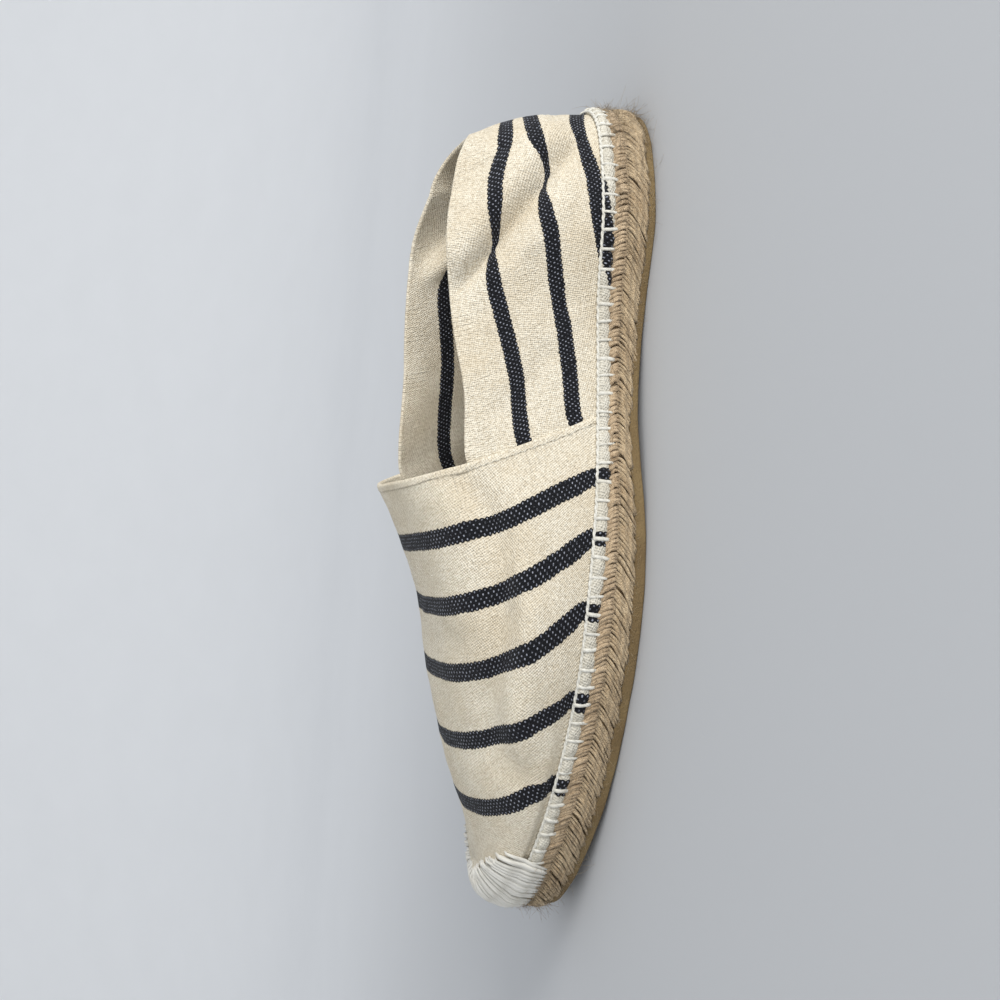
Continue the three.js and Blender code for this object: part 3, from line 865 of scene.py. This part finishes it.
def quarter_stripe(turn, depth):
    """The stripe, counted down from the collar."""
    arc = side_and_arc(turn)[1]
    arc = np.clip(1 - np.hypot(1 - arc, BACK_ROUND), QUARTER_STRIPES["at"][0], 1)
    names = ("first", "second", "third")
    first, second, third = (column(QUARTER_STRIPES, "at", name, arc) for name in names)
    upper = 1 + (depth - first) / (second - first)
    lower = 2 + (depth - second) / (third - second)
    return np.where(depth < second, upper, lower)


def quarter_grid():
    """Columns round the heel from seam to seam, rows from under the hem thread up to the collar."""
    turns = np.linspace(MOUTH_ARC - LAP / FLANK_ARC, 2 - MOUTH_ARC + LAP / FLANK_ARC, 190)
    heights = np.concatenate([np.linspace(0, 0.965, 40), np.linspace(0.974, 1, 5)])
    turn, height = np.meshgrid(turns, heights)
    grid = quarter_point(turn, height)
    return turns, heights, with_tuck(grid)


def quarters(material):
    turns, heights, grid = quarter_grid()
    rows, columns = grid.shape[:2]
    depth = grid_lengths(grid[::-1], 0)[::-1]
    q = quarter_stripe(turns, depth)
    scale = stripe_scale(grid, q) * NARROWER
    along = grid_lengths(grid, 1)
    along = along - along[:, columns // 2][:, None]
    arc = side_and_arc(turns)[1]
    free = smoothstep(MOUTH_ARC - 0.004, MOUTH_ARC + 0.012, arc)
    level = np.concatenate([[0], heights])[:, None]
    level = level * mix(junction(turns), 1.0, smoothstep(MOUTH_ARC, MOUTH_ARC + JUNCTION_SPREAD, arc))
    hold = smoothstep(0.0, HELD, level)
    lift = -CANVAS / 2 - 0.35 * (1 - free) * np.ones((rows, 1))
    cloth = stack3(np.clip(q, *QUARTER_WOVEN), along, scale)
    weave = stack3(depth, along, depth + NO_FOLD)
    thickness = np.full(depth.shape, CANVAS + 0.1)
    quads = quads_of_grid(rows, columns)
    return sew("quarters", grid, quads, lift, hold, cloth, weave, thickness, material)


# Edge of the sole


# Millimetres between the blanket stitches, along the sides and round the heel
STITCH_GAPS = (5.5, 4.4)
# Millimetres of the strip's cloth for each stripe, by the vamp and by the quarters
HEM_SCALES = (26.0, 19.0)
# How far the gathered middle of the sole stays from the toe and from the heel
SPINE_ENDS = (36, 30)


def leg_places():
    """Where the blanket stitches stand, closer together round the heel."""
    places = [0.0]
    while places[-1] < 2 * FLANK_ARC:
        arc = side_and_arc(places[-1] / FLANK_ARC)[1]
        places.append(places[-1] + mix(*STITCH_GAPS, float(smoothstep(0.84, 0.96, arc))))
    share = 2 * FLANK_ARC / places[-1]
    return np.array(places[:-1]) * share


LEGS = leg_places()


def ring_place(turn, outset, z=0.0):
    x, y, _ = outline(turn, outset)
    return stack3(x, y, z)


def edge_place(turn, outset, z_above_hem):
    x, y, _ = outline(turn, outset)
    return stack3(x, y, hem_top(y) + z_above_hem)


def hem_strip(material):
    """The turned-out edge of the canvas, drawn in a little by every stitch."""
    drops = np.array([3.7, 3.2, 2.6, 2.0, 1.5, 1.1, 0.7, 0.5])
    outsets = np.array([0.1, 0.5, 0.75, 0.8, 0.75, 0.6, 0.1, -HEM_INSET])
    turn = np.linspace(0, 2, 1155)[:-1]
    gaps = np.abs(turn[:, None] * FLANK_ARC - LEGS[None]).min(axis=1)
    pucker = 0.55 * np.sqrt(smoothstep(0.1, 2.6, gaps)) - 0.3
    uneven = 0.12 * np.sin(turn * 61) + 0.1 * np.sin(turn * 143 + 1)
    middle = np.stack([edge_place(turn, o + pucker + uneven, -d) for d, o in zip(drops, outsets)])
    foot = from_toe(outline(turn, -HEM_INSET)[1])
    climb = quarter_point(turn[None], np.linspace(0, 1, 30)[:, None])
    depth = np.linalg.norm(np.diff(climb, axis=0), axis=2).sum(0)
    front = np.clip(column(STRIPES, "hem", "stripe", foot), *VAMP_WOVEN)
    rear = np.clip(quarter_stripe(turn, depth[None] + drops[:, None]), *QUARTER_WOVEN)
    on_vamp = side_and_arc(turn)[1] < MOUTH_ARC
    q = np.where(on_vamp, front, rear)
    scale = np.where(on_vamp, *HEM_SCALES)
    cloth = stack3(q, np.where(on_vamp, -drops[:, None], turn * FLANK_ARC), scale[None])
    weave = stack3((turn * FLANK_ARC)[None], -drops[:, None], NO_FOLD)
    quads = quads_of_grid(len(drops), len(turn), closed=True)
    points, faces, source = thick_cloth(middle.reshape(-1, 3), quads, 0.7, rim_steps=2)
    cloth = np.broadcast_to(cloth, middle.shape).reshape(-1, 3)[source]
    weave = np.broadcast_to(weave, middle.shape).reshape(-1, 3)[source]
    values = {"cloth": cloth, "weave": weave}
    return make_piece("hem_strip", points, faces, material, ["upper"], values)


def hem_thread(material):
    """Two plies that wind round each other all the way round the shoe."""
    turns = np.linspace(0, 2, 1600)
    winds, swing, size = 118, 0.22, 0.42
    for ply in (0, 1):
        phase = math.pi * (turns * winds + ply)
        path = edge_place(turns, -0.3 + swing * np.cos(phase), -0.2 + swing * np.sin(phase))[None]
        name = "hem_thread_%d" % (ply + 1)
        make_tubes(name, path, [0, 0, 1], size, size, material, np.array([0.6]), ["hem_cord"])


def stitch_legs(material):
    """One upright stitch over the hem strip into the braid at each place."""
    rng = np.random.default_rng(11)
    steps = np.linspace(0, 1, 9)
    outsets = np.interp(steps, [0, 0.15, 0.3, 0.7, 0.85, 1], [-0.3, 0.45, 0.95, 1.0, 0.95, 0.2])
    drops = np.interp(steps, [0, 0.15, 0.3, 0.7, 0.85, 1], [-0.1, 0.2, 1.0, 3.4, 4.3, 5.0])
    lean = rng.normal(0.4, 0.55, len(LEGS))[:, None] * steps
    turn = (LEGS[:, None] + lean + rng.normal(0, 0.3, len(LEGS))[:, None]) / FLANK_ARC
    reach = rng.normal(0, 0.45, len(LEGS))[:, None] * steps
    path = edge_place(turn, outsets[None], -drops[None] - reach)
    size = 0.6 * spindle(len(steps), 0.6) * rng.uniform(0.75, 1.25, len(LEGS))[:, None]
    out = path - edge_place(turn, outsets[None] - 1, -drops[None] - reach)
    tone = rng.uniform(0.0, 0.8, len(LEGS))
    make_tubes("hem_stitches", path, out, size, size * 0.62, material, tone)


BRAID_CENTRE = 0.6
LOWER_SLANT = math.radians(36)
UPPER_SLANT = math.radians(62)


def band(turn):
    """Lowest and highest height of the braid at each place."""
    y = outline(turn)[1]
    return outsole_top(y) - 0.2, hem_top(y) - HEM_BAND + 0.3


def braid_row(name, material, upper):
    """Slanted strands of yarns side by side, from the centre line out to one edge."""
    rng = np.random.default_rng(23 if upper else 17)
    pitch = 2 * FLANK_ARC / STRANDS
    yarns = 5
    slant = UPPER_SLANT if upper else LOWER_SLANT
    wide = pitch * math.sin(slant) / yarns
    u = np.linspace(0, 1, 9)
    strand, yarn = np.meshgrid(np.arange(STRANDS), np.arange(yarns), indexing="ij")
    which = strand.ravel()
    strand, yarn = which[:, None], yarn.ravel()[:, None]
    side = (yarn - (yarns - 1) / 2) / (yarns / 2)
    jitter = rng.normal(0, 0.2, (STRANDS, 1))[which]
    heft = rng.normal(1.0, 0.18, (STRANDS, 1))[which]
    reach = rng.normal(0, 0.3, (STRANDS, 1))[which]
    shade = rng.normal(0, 0.16, STRANDS)[which]
    apex = (strand + 0.5) * pitch + side * pitch / 2 + jitter
    low, high = band(apex / FLANK_ARC)
    centre = mix(low, high, BRAID_CENTRE)
    end = high + 0.4 if upper else low - 0.4
    end = end + (-0.5 if upper else 0.75) * side**2 + (0.3 if upper else 1.0) * reach
    end = end + rng.normal(0, 0.16, side.shape)
    start = centre + (-0.55 if upper else 0.35)
    run = np.abs(end - start) / math.tan(slant)
    bow = rng.normal(0.9, 0.3, side.shape) * np.sin(math.pi * u) + rng.normal(0, 0.25, side.shape) * u
    place = apex - run * u + bow
    z = mix(start, end, u) + 0.16 * np.sin(u * 9 + strand * 2.1 + yarn)
    swell = np.sin(math.pi * np.clip(u * 0.9 + 0.05, 0, 1)) ** 0.6
    gap = rng.uniform(0.25, 1.0, (STRANDS, 1))[which]
    round_ = 1 - gap * (1 - np.sqrt(np.clip(1 - (side * 0.9) ** 2, 0, 1)))
    proud = (0.75 if upper else 1.05) * swell * heft * mix(0.66, 1.0, round_) + (-0.15 if upper else 0.05)
    path = ring_place(place / FLANK_ARC, proud + rng.normal(0, 0.07, side.shape), z)
    out = path - ring_place(place / FLANK_ARC, proud - 1, z)
    size = wide / 2 * 1.42 * spindle(len(u), 0.5, 0.35) * rng.uniform(0.84, 1.18, side.shape)
    tone = np.clip(rng.normal(0.5, 0.2, len(side)) + shade, 0, 1)
    return make_tubes(name, path, out, size, size * 1.05, material, tone, ["jute_sole"], sides=5)


def ring_rows(turns, rows):
    """A row of points for each (outset, share of the way out from the spine, height function)."""
    grid = []
    for outset, share, height in rows:
        x, y, _ = outline(turns, outset)
        spine_y = np.clip(y, SPINE_ENDS[0] - SOLE_LENGTH / 2, SOLE_LENGTH / 2 - SPINE_ENDS[1])
        y = mix(spine_y, y, share)
        grid.append(stack3(mix(middle_line(spine_y), x, share), y, height(y)))
    return np.stack(grid)


def slab(name, rows, material, replaces, uneven=0.0):
    turns = np.linspace(0, 2, 481)[:-1]
    grid = ring_rows(turns, rows)
    wave = np.sin(turns * 57) * np.sin(turns * 23 + 1) + 0.6 * np.sin(turns * 131 + 2)
    shares = np.array([share for _, share, _ in rows])
    out = (ring_place(turns, 0.0) - ring_place(turns, -1))[:, :2]
    grid[..., :2] += (uneven * (shares >= 1))[:, None, None] * (wave[:, None] * out)[None]
    quads = quads_of_grid(len(rows), len(turns), closed=True)
    rise = np.linspace(0, 1, len(rows))[:, None] * np.ones(len(turns))
    return make_piece(name, grid.reshape(-1, 3), quads, material, replaces, {"rise": rise.ravel()})


def outsole(material):
    top, under = outsole_top, sole_underside
    rows = [(-1.4, share, under) for share in (0.0, 0.35, 0.7, 1.0)]
    for bend in np.linspace(0, 1, 7):
        angle = bend * math.pi / 2
        outset = OUTSOLE_LIP - 1.1 + 1.1 * math.sin(angle)
        rows.append((outset, 1.0, lambda y, a=angle: under(y) + 1.1 * (1 - math.cos(a))))
    rows += [(OUTSOLE_LIP + 0.1, 1.0, lambda y, s=s: mix(under(y) + 1.1, top(y), s)) for s in (0.35, 0.7)]
    rows += [(OUTSOLE_LIP - 0.1, 1.0, lambda y: top(y) - 0.25), (OUTSOLE_LIP - 0.5, 1.0, top)]
    rows += [(-1.5, share, top) for share in (1.0, 0.6, 0.0)]
    return slab("outsole_crepe", rows, material, ["outsole"], uneven=0.12)


def jute_core(material):
    def low(y):
        return outsole_top(y) + GAP

    def high(y):
        return hem_top(y) - HEM_BAND

    rows = [(-0.6, share, low) for share in (0.0, 0.6, 1.0)]
    rows += [(-0.2, 1.0, lambda y, s=s: mix(low(y), high(y), s)) for s in (0.1, 0.5, 0.9)]
    rows += [(-0.6, share, high) for share in (1.0, 0.6, 0.0)]
    return slab("jute_core", rows, material, ["jute_sole"])


def footbed(material):
    def low(y):
        return hem_top(y) - 0.5

    rows = [(-3.6, share, low) for share in (0.0, 0.5, 1.0)]
    for bend in np.linspace(0, math.pi, 7):
        inset = -4.2 + 0.9 * math.sin(bend)
        rise = (1 - math.cos(bend)) / 2 * INSOLE_THICKNESS
        rows.append((inset, 1.0, lambda y, r=rise: low(y) + r))
    dips = ((0.93, 0.0), (0.8, 0.25), (0.5, 0.45), (0.0, 0.5))
    rows += [(-4.4, s, lambda y, d=d: low(y) + INSOLE_THICKNESS - d) for s, d in dips]
    return slab("footbed", rows, material, ["insole"])


# Stitches and loose fibres

TOE_REACH = 31.0
# Threads in each layer of the toe wrap, and how far they stand off the cloth
TOE_LAYERS = ((48, 0.6), (39, 1.1))
FIBRES = 7300


def vamp_normal(turn, height, step):
    ahead = vamp_point(turn + 0.002, height) - vamp_point(turn - 0.002, height)
    above = vamp_point(turn, height + step) - vamp_point(turn, height - step)
    return unit(np.cross(ahead, above))


def toe_wrap(material):
    """Two layers of thread over the toe tip, uneven where they end on the cloth."""
    rng = np.random.default_rng(5)
    for layer, (count, stand) in enumerate(TOE_LAYERS):
        at = np.linspace(-1, 1, count) * (TOE_REACH - layer * 1.5) + rng.normal(0, 0.25, count)
        short = np.sqrt(np.clip(1 - (at / (TOE_REACH + 1)) ** 2, 0, 1))
        top = mix(0.3, 0.93, short) * rng.uniform(0.8, 1.06, count)
        steps = np.linspace(0, 1, 16)
        drift = (at * 0.24 + rng.normal(0.8, 0.8, count))[:, None] * steps
        turn = (at[:, None] + drift) / FLANK_ARC
        low = np.interp(steps, [0, 0.12, 0.27], [-6.4, -3.4, 0.3])[None]
        side = edge_place(turn, 1.05 + 0.5 * layer + 0 * turn, low)
        height = np.clip((steps - 0.27) / 0.73, 0, 1)[None] * top[:, None]
        normal = vamp_normal(turn, height, 0.02)
        sink = 1 - 0.9 * smoothstep(0.86, 1.0, steps)[None, :, None]
        over = vamp_point(turn, height) + normal * (stand + 0.75) * sink
        share = smoothstep(0.2, 0.36, steps)[None, :, None]
        path = mix(side, over, share)
        flank = edge_place(turn, 2.0, low) - edge_place(turn, 1.0, low)
        up = mix(flank, normal, share)
        size = rng.uniform(0.66, 0.95, count)[:, None] * spindle(16, 0.3, 0.35) * mix(1.0, 0.7, steps)
        tone = rng.uniform(0.3, 1, count)
        name = "toe_wrap_%d" % (layer + 1)
        make_tubes(name, path, up, size, size * 0.8, material, tone, ["toe_stitching"], sides=8)


def seam_stitches(material):
    """A zigzag of cream thread that sews the vamp's edge down on each quarter."""
    rng = np.random.default_rng(3)
    paths, ups = [], []
    for side in (1, -1):
        top = JUNCTION_LEFT if side > 0 else JUNCTION_RIGHT
        heights = np.linspace(0.0, top, 25)
        for k, (low, high) in enumerate(zip(heights[:-1], heights[1:])):
            arcs = (0.9, 2.0) if k % 2 else (2.0, 0.9)
            share = np.linspace(0, 1, 6)
            turn = side * (MOUTH_ARC - mix(arcs[0], arcs[1], share) / FLANK_ARC)
            height = mix(low, high, share)
            here = vamp_point(turn, height)
            normal = vamp_normal(turn, height, 0.01)
            lift = SEAM_STEP * smoothstep(0, STEP_SHARE, height) + 0.05 + 0.1 * np.sin(math.pi * share)
            lift = lift + slack(here, smoothstep(0.0, HELD, height))
            paths.append(here + normal * lift[:, None])
            ups.append(normal)
    size = 0.24 * spindle(6, 0.5) * np.ones((len(paths), 1))
    tone = rng.uniform(0.2, 0.8, len(paths))
    make_tubes("seam_stitches", paths, np.array(ups), size, size * 0.8, material, tone)


def loose_fibres(material):
    """Fine hairs that stand off the braid, thickest at the heel and the toe."""
    rng = np.random.default_rng(41)
    count = FIBRES
    ends = rng.random(count) < 0.45
    near_heel = rng.random(count) < 0.6
    clustered = np.where(near_heel, 1.0, 0.0) + rng.normal(0, 0.09, count)
    turn = np.where(ends, clustered, rng.uniform(0, 2, count))
    low, high = band(turn)
    z = mix(low, high, rng.uniform(-0.1, 1.05, count))
    length = np.clip(rng.gamma(2.2, 0.6, count), 0.4, 4.0) * np.where(ends, 1.1, 0.75)
    out = ring_place(turn, 0.5) - ring_place(turn, -0.5)
    along = stack3(-out[:, 1], out[:, 0], 0.0)
    lying = rng.random(count) < 0.5
    stand = np.where(lying, rng.uniform(0.05, 0.45, count), rng.uniform(0.3, 1.1, count))
    way = out * stand[:, None] + along * rng.normal(0, 0.8, count)[:, None]
    way = way + np.array([0, 0, 1]) * rng.normal(-0.1, 0.5, count)[:, None]
    length = length * np.where(lying, 1.5, 1.0)
    root = ring_place(turn, np.where(lying, 1.3, 0.5), z)
    bend = rng.normal(0, 0.5, (count, 3))
    steps = np.linspace(0, 1, 4)[None, :, None]
    reach = (way[:, None] * steps + bend[:, None] * steps**2) * length[:, None, None]
    path = root[:, None] + reach
    path[..., 2] = np.maximum(path[..., 2], 0.15)
    size = 0.06 * np.linspace(1, 0.35, 4) * np.ones((count, 1))
    tone = rng.uniform(0.3, 1, count)
    make_tubes("loose_fibres", path, [0.3, 0.2, 1], size, size, material, tone, sides=3)


# Room, light and camera


# Painted shade on the paper: it is darker towards the camera, from the first distance to the second
PAINTED_FLOOR_SHADE = (-560.0, 60.0)


def stage_material():
    finish = Finish("pale_paper")
    grain = finish.mottle(0.02, 2.0)
    painted_floor_shade = finish.split(finish.place)[0].between(*PAINTED_FLOOR_SHADE)
    paper = finish.blend(grain, (218, 220, 223), (222, 224, 227))
    # Painted shade: the floor part of the paper turns darker towards the camera.
    paper = finish.blend(painted_floor_shade, paper, (184, 186, 189))
    return finish.set(Base_Color=paper, Roughness=0.95, Specular_IOR_Level=0.1)


def studio():
    """A sheet of pale paper that rises behind the shoe."""
    bend = np.linspace(0, math.pi / 2, 25)
    radius, wall = 0.7, -0.6
    xs = np.concatenate([[3.0, 0.6, 0.0], wall - radius * np.sin(bend), [wall - radius]])
    zs = np.concatenate([[0.0, 0.0, 0.0], radius * (1 - np.cos(bend)), [3.5]])
    ys = np.linspace(-4, 4, 9)
    points = np.stack([np.repeat(xs, len(ys)), np.tile(ys, len(xs)), np.repeat(zs, len(ys))], -1)
    mesh = bpy.data.meshes.new("paper")
    mesh.from_pydata(points.tolist(), [], quads_of_grid(len(xs), len(ys)).tolist())
    mesh.shade_smooth()
    mesh.materials.append(stage_material())
    add_object("paper", mesh)


def lamp(name, place, aim, size, power, tint):
    light = bpy.data.lights.new(name, "AREA")
    light.shape = "DISK"
    light.size = size
    light.energy = power
    light.color = tint
    holder = add_object(name, light)
    holder.location = place
    holder.rotation_euler = (Vector(aim) - Vector(place)).to_track_quat("-Z", "Y").to_euler()


CAMERA_PLACE = Vector((0.39845, 0.00688, 0.13888))
PHOTO_UP = Vector((0.0362, 0.9944, 0.0991))
AIM = Vector((0.0, 0.002, 0.034))
LENS = 46.8


def camera():
    """The photograph's angle to the shoe: low from the inner flank, with the heel up."""
    lens = bpy.data.cameras.new("camera")
    lens.lens = LENS
    lens.sensor_width = 36.0
    holder = add_object("camera", lens)
    back = (CAMERA_PLACE - AIM).normalized()
    right = PHOTO_UP.cross(back).normalized()
    up = back.cross(right)
    turned = Matrix((right, up, back)).transposed().to_4x4()
    holder.matrix_world = Matrix.Translation(CAMERA_PLACE) @ turned
    bpy.context.scene.camera = holder


def light():
    world = bpy.data.worlds.new("studio")
    world.use_nodes = True
    background = world.node_tree.nodes["Background"].inputs
    background["Color"].default_value = [0.96, 0.98, 1.0, 1.0]
    background["Strength"].default_value = 0.8
    bpy.context.scene.world = world
    lamp("key", (0.75, 0.95, 0.3), (0, 0, 0.03), 0.6, 13.0, (1.0, 0.985, 0.96))
    lamp("fill", (1.0, -0.1, 0.5), (0, 0, 0.03), 1.2, 1.8, (0.95, 0.97, 1.0))
    bpy.context.scene.view_settings.view_transform = "Standard"


def main():
    global SHIFT
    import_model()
    low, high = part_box("outsole")
    ring = np.stack(outline(np.linspace(0, 2, OUTLINE_STEPS), OUTSOLE_LIP)[:2], -1)
    middle = (ring.min(axis=0) + ring.max(axis=0)) / 2
    SHIFT = np.array([(low[0] + high[0]) / 2 / MM - middle[0], (low[1] + high[1]) / 2 / MM - middle[1], 0.0])

    pale = (234, 227, 210), (223, 212, 190), (184, 169, 142)
    greyer = (220, 216, 204), (206, 201, 187), (172, 165, 148)
    canvas = canvas_finish("striped_canvas", *pale)
    turned = canvas_finish("turned_canvas", *greyer)
    thread = thread_finish("white_thread", 2.1, 0.35, (228, 226, 217))
    wrap = thread_finish("wrap_thread", 7.0, 0.3, (218, 216, 210))
    cream = thread_finish("cream_thread", 2.1, 0.2, (226, 216, 192))
    vamp(canvas)
    quarters(canvas)
    hem_strip(turned)
    hem_thread(thread)
    stitch_legs(thread)
    toe_wrap(wrap)
    seam_stitches(cream)
    lower = yarn_finish("jute_yarn", (146, 118, 82), (226, 204, 168))
    braid_row("braid_lower", lower, upper=False)
    # The upper row's yarn is a little darker: painted shade under the hem strip.
    painted_shade_yarn = yarn_finish("jute_yarn_painted_shade", (140, 114, 82), (222, 198, 164))
    braid_row("braid_upper", painted_shade_yarn, upper=True)
    loose_fibres(lower)
    jute_core(plain_jute_finish())
    outsole(rubber_finish())
    footbed(footbed_finish())

    studio()
    light()
    camera()


main()
